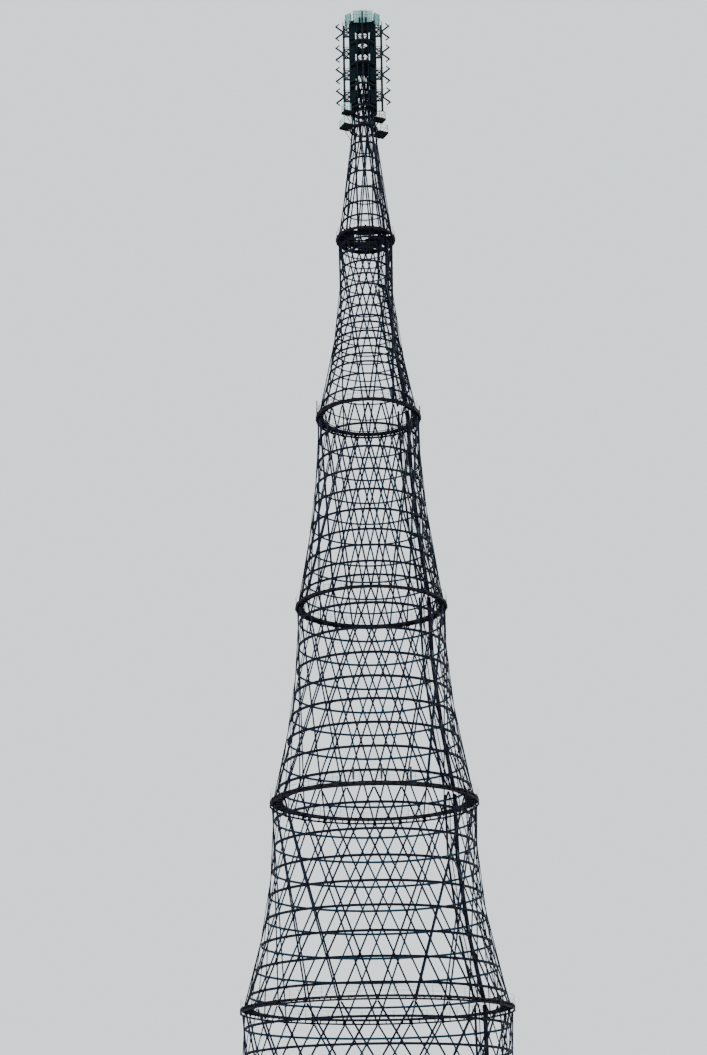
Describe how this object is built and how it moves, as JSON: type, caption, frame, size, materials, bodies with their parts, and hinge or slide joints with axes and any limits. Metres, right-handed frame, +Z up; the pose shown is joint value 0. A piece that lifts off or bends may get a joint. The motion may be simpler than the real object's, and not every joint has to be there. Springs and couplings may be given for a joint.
{
  "type": "lattice radio tower, 1:10 scale model",
  "caption": "Free-standing radio mast of stacked hyperboloid lattice sections with ring galleries, inner ladder run and a tiered antenna cage on top, 1:10 scale.",
  "frame": {"origin": "on the ground plane at the centre of the round base, under the tower's axis", "axes": "+Z up the tower's axis, -Y towards the side that the picture shows, +X to that view's right"},
  "size_m": [4.1502, 4.1502, 15.83],
  "materials": {
    "lattice_paint": "weathered paint",
    "hoop_paint": "weathered paint",
    "gallery_steel": "weathered paint",
    "deck_steel": "weathered paint",
    "ladder_steel": "weathered paint",
    "rail_steel": "weathered paint",
    "cage_steel": "weathered paint",
    "antenna_steel": "weathered paint",
    "cabinet_paint": "matt paint",
    "radome": "matt",
    "cable_sheath": "matt",
    "shoe_iron": "cast, painted",
    "ring_concrete": "rough concrete"
  },
  "bodies": {
    "root": {"foundation": "ring_concrete", "bearing_shoes": "shoe_iron", "section_1_lattice": "lattice_paint", "section_2_lattice": "lattice_paint", "section_3_lattice": "lattice_paint", "section_4_lattice": "lattice_paint", "section_5_lattice": "lattice_paint", "section_6_lattice": "lattice_paint", "section_1_hoops": "hoop_paint", "section_2_hoops": "hoop_paint", "section_3_hoops": "hoop_paint", "section_4_hoops": "hoop_paint", "section_5_hoops": "hoop_paint", "section_6_hoops": "hoop_paint", "gallery_1": "gallery_steel", "gallery_2": "gallery_steel", "gallery_3": "gallery_steel", "gallery_4": "gallery_steel", "gallery_5": "gallery_steel", "ladder_1": "ladder_steel", "ladder_2": "ladder_steel", "ladder_3": "ladder_steel", "ladder_4": "ladder_steel", "ladder_5": "ladder_steel", "ladder_6": "ladder_steel", "rest_platforms": "deck_steel", "feeder_run": "cable_sheath", "equipment_boxes": "cabinet_paint", "panel_antennas": "radome", "whip_antennas": "antenna_steel", "lower_service_platform": "deck_steel", "upper_service_platform": "deck_steel", "platform_rails": "rail_steel", "head_deck": "deck_steel", "antenna_tier_1": "cage_steel", "antenna_tier_2": "cage_steel", "antenna_tier_3": "cage_steel", "antenna_tier_4": "cage_steel", "antenna_poles": "antenna_steel", "dipoles_1": "antenna_steel", "dipoles_2": "antenna_steel", "dipoles_3": "antenna_steel", "dipoles_4": "antenna_steel", "crown_deck": "deck_steel", "crown_rail": "rail_steel", "crown_frames": "rail_steel"}
  },
  "joints": []
}
